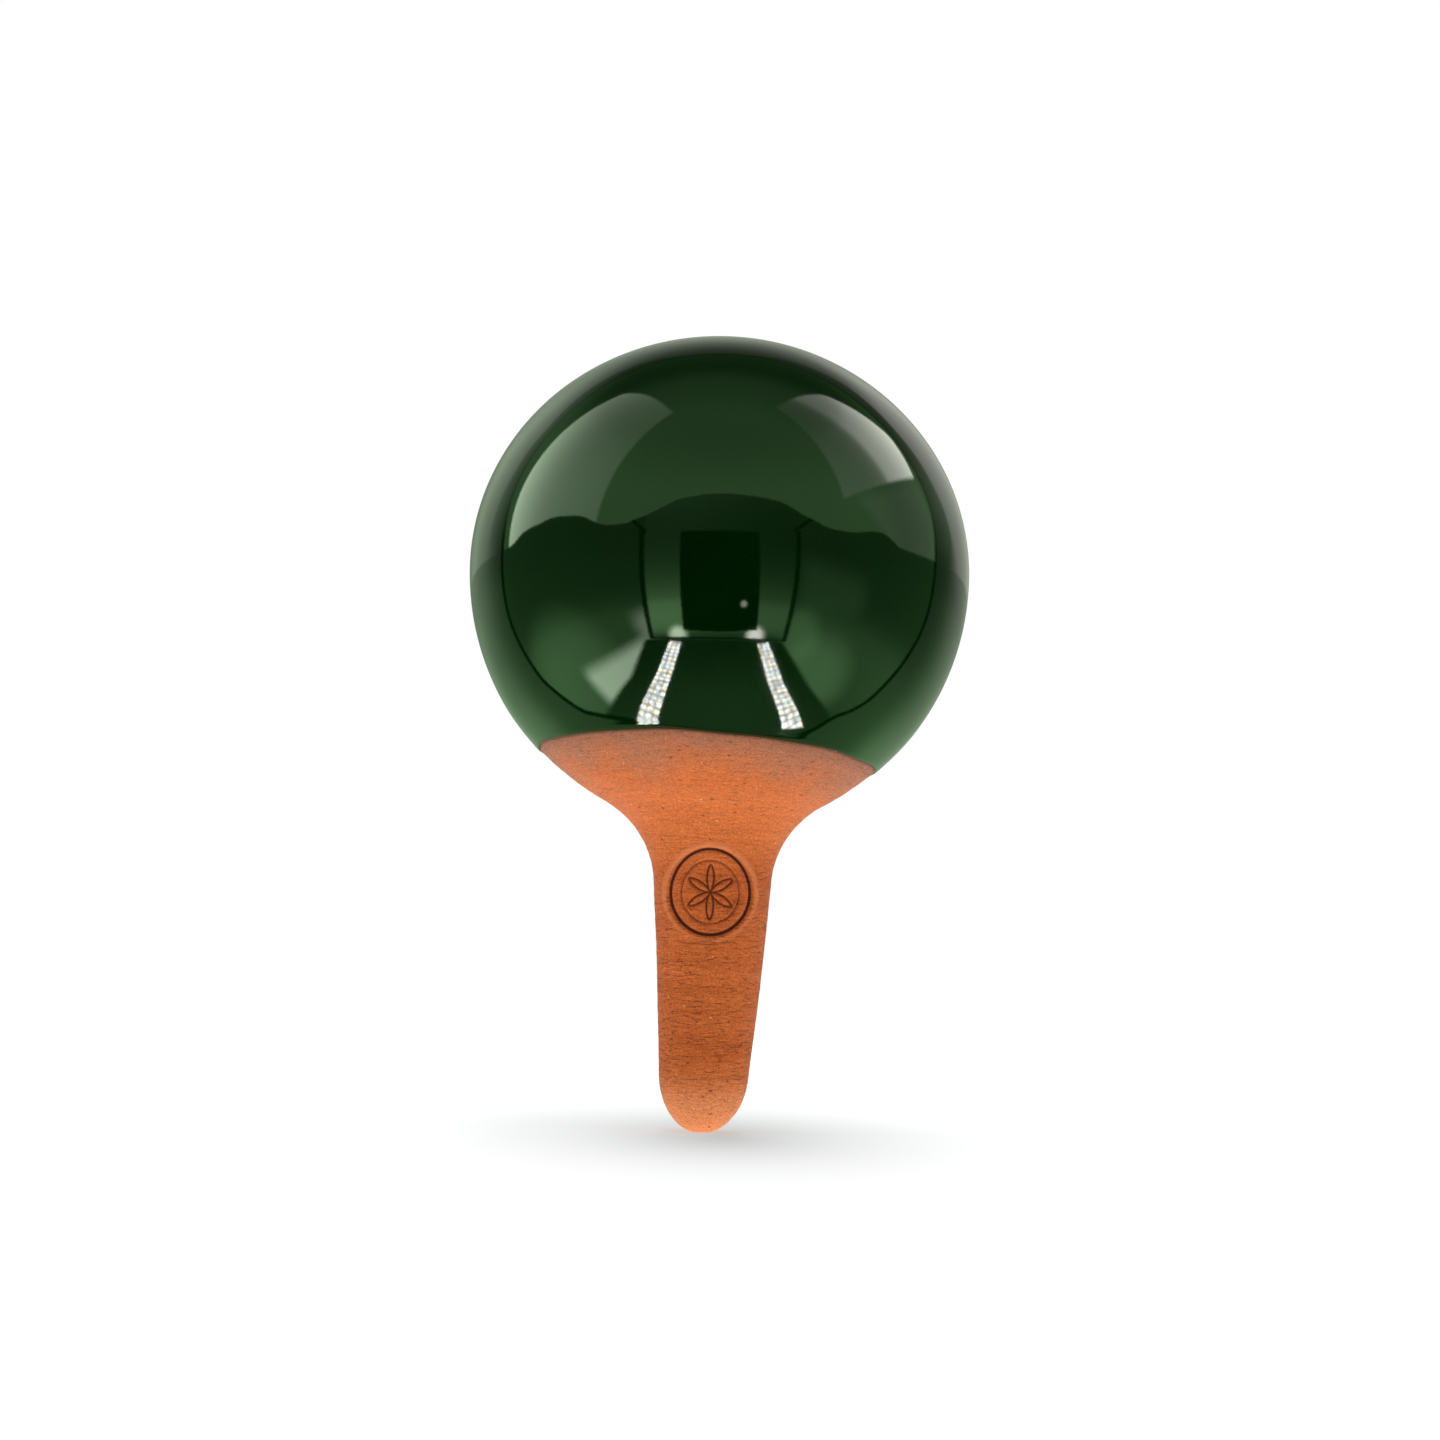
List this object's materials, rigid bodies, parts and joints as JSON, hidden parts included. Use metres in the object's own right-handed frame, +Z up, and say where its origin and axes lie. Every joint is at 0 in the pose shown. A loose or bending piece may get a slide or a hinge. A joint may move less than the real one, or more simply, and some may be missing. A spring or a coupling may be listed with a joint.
{
  "type": "irrigation olla",
  "caption": "Hollow clay watering globe with a gloss green glaze, on a bare porous spike that is pushed into soil, with a cork in the filler mouth at the crown.",
  "frame": {"origin": "on the axis, at the soil line where the glaze ends and the bare clay starts", "axes": "+Z up along the axis, from the spike's tip to the filler mouth; X and Y are free, because the part is a body of revolution"},
  "size_m": [0.1, 0.1, 0.1566],
  "materials": {
    "terracotta": "matte, porous, unglazed red earthenware",
    "green_glaze": "gloss bottle-green glaze",
    "cork": "natural cork, fine pores"
  },
  "bodies": {
    "olla": {"clay_body": "terracotta", "glaze_coat": "green_glaze"},
    "stopper": {"cork_stopper": "cork"}
  },
  "joints": [
    {"name": "stopper_lift", "type": "slide", "parent": "olla", "child": "stopper", "axis": [0, 0, 1], "range_m": [0, 0.04]}
  ]
}
